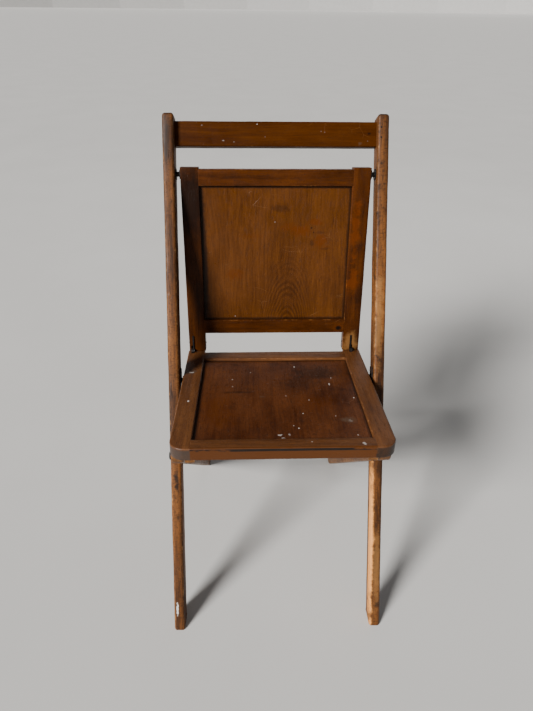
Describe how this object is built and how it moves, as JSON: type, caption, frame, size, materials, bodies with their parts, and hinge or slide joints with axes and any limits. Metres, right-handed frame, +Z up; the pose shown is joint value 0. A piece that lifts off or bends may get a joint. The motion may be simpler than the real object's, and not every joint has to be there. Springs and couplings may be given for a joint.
{
  "type": "folding chair",
  "caption": "Wooden folding chair with a framed plywood seat and back panel, long legs that rise to a crest rail, and crossing rear legs; it folds flat.",
  "frame": {"origin": "on the floor, at the middle of the chair's width and depth", "axes": "+Z up, +X across the chair, -Y the way the chair faces"},
  "size_m": [0.3758, 0.452, 0.7907],
  "materials": {
    "leg_wood": "golden brown stain, worn satin varnish",
    "crest_wood": "medium brown stain, satin varnish",
    "back_frame_wood": "dark red-brown stain, satin varnish",
    "back_plywood": "brown stained plywood, satin varnish",
    "seat_frame_wood": "dark red-brown stain, worn on its edges",
    "seat_plywood": "dark red-brown stained plywood, worn",
    "rear_wood": "golden brown stain, dull",
    "iron": "black oxidised"
  },
  "bodies": {
    "front_frame": {"long_leg_left": "leg_wood", "long_leg_right": "leg_wood", "crest_rail": "crest_wood", "crest_nails": "iron", "back_pivot_pins": "iron", "back_pivot_flanges": "iron", "slot_plate_left": "iron", "slot_plate_right": "iron", "slot_plate_screws": "iron", "cross_bolts": "iron", "cross_bolt_spacers": "iron", "cross_bolt_washers": "iron", "cross_bolt_nuts": "iron"},
    "back_panel": {"back_stile_left": "back_frame_wood", "back_stile_right": "back_frame_wood", "back_top_rail": "back_frame_wood", "back_bottom_rail": "back_frame_wood", "back_plywood": "back_plywood", "back_ferrules": "iron", "back_hinge_plate_left": "iron", "back_hinge_plate_right": "iron", "back_hinge_pins": "iron", "hinge_rivets": "iron"},
    "seat_panel": {"seat_side_rail_left": "seat_frame_wood", "seat_side_rail_right": "seat_frame_wood", "seat_front_rail": "seat_frame_wood", "seat_rear_rail": "seat_frame_wood", "seat_plywood": "seat_plywood", "seat_ferrules": "iron", "seat_hinge_plate_left": "iron", "seat_hinge_plate_right": "iron", "seat_hinge_pins": "iron", "seat_cleat_left": "seat_frame_wood", "seat_cleat_right": "seat_frame_wood", "seat_cleat_screws": "iron"},
    "rear_frame": {"rear_leg_left": "rear_wood", "rear_leg_right": "rear_wood", "rear_top_rod": "rear_wood", "rear_rung": "rear_wood"},
    "side_pins": {"side_pins": "iron"}
  },
  "joints": [
    {"name": "back_swing", "type": "hinge", "parent": "front_frame", "child": "back_panel", "pos_m": [0, 0.14938, 0.70153], "axis": [-1, 0, 0], "range_deg": [0, 10.95]},
    {"name": "seat_fold", "type": "hinge", "parent": "back_panel", "child": "seat_panel", "pos_m": [0, 0.08297, 0.397], "axis": [-1, 0, 0], "range_deg": [0, 94]},
    {"name": "pin_slide", "type": "slide", "parent": "front_frame", "child": "side_pins", "axis": [0, 0.454, 0.891], "range_m": [0, 0.1199]},
    {"name": "rear_leg_fold", "type": "hinge", "parent": "front_frame", "child": "rear_frame", "pos_m": [0, -0.06704, 0.27679], "axis": [-1, 0, 0], "range_deg": [0, 71.5]}
  ],
  "couplings": [
    {"joint": "back_swing", "follows": "seat_fold", "ratio": 0.11649},
    {"joint": "pin_slide", "follows": "seat_fold", "m_per_rad": 0.073082},
    {"joint": "rear_leg_fold", "follows": "seat_fold", "ratio": 0.76064}
  ]
}
